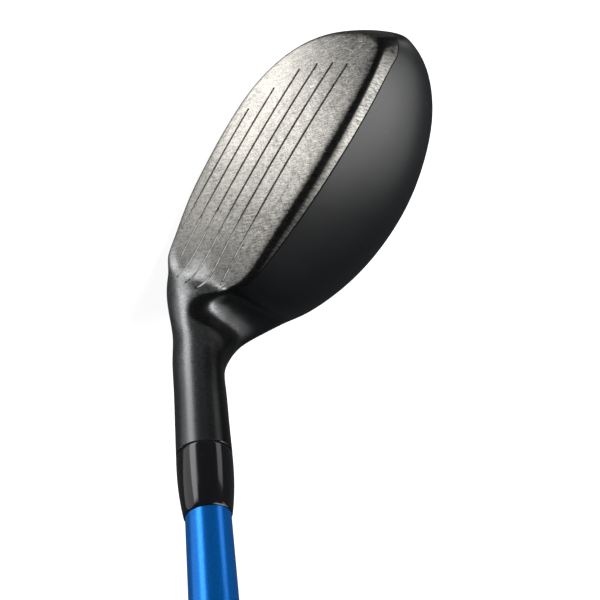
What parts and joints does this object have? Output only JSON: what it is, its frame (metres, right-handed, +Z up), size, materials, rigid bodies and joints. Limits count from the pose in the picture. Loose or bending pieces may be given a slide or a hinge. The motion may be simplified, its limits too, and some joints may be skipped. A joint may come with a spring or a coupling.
{
  "type": "hybrid golf club",
  "caption": "Right-handed hybrid golf club with a hollow steel head, a curved scored face, a dark crown plate, a black ferrule, a blue tapered shaft and a rubber grip.",
  "frame": {"origin": "where the middle of the sole meets the ground, with the club standing at address", "axes": "+Z up, +X from the toe towards the heel and the golfer, -Y out of the striking face; the shaft leans towards +X at a lie of 60 degrees"},
  "size_m": [0.6022, 0.0567, 0.8864],
  "materials": {
    "cast_steel": "satin, worn dark finish",
    "face_steel": "fine brushed, scuffed",
    "crown_paint": "matt charcoal",
    "score_paint": "worn paint",
    "tungsten": "satin",
    "glue": "tacky",
    "cork": "plain",
    "bond": "clear",
    "ferrule_plastic": "polished",
    "shaft_paint": "metallic blue",
    "brass": "plain",
    "tape": "paper",
    "grip_rubber": "moulded",
    "ring_paint": "paint"
  },
  "bodies": {
    "root": {"head_body": "cast_steel", "face_plate": "face_steel", "score_line_paint": "score_paint", "crown_plate": "crown_paint", "sole_weight": "tungsten", "rattle_glue": "glue", "hosel_plug": "cork", "hosel_bond": "bond", "ferrule": "ferrule_plastic", "shaft": "shaft_paint", "tip_weight": "brass", "grip_tape": "tape", "grip": "grip_rubber", "grip_rings": "ring_paint", "grip_cap": "grip_rubber"}
  },
  "joints": []
}
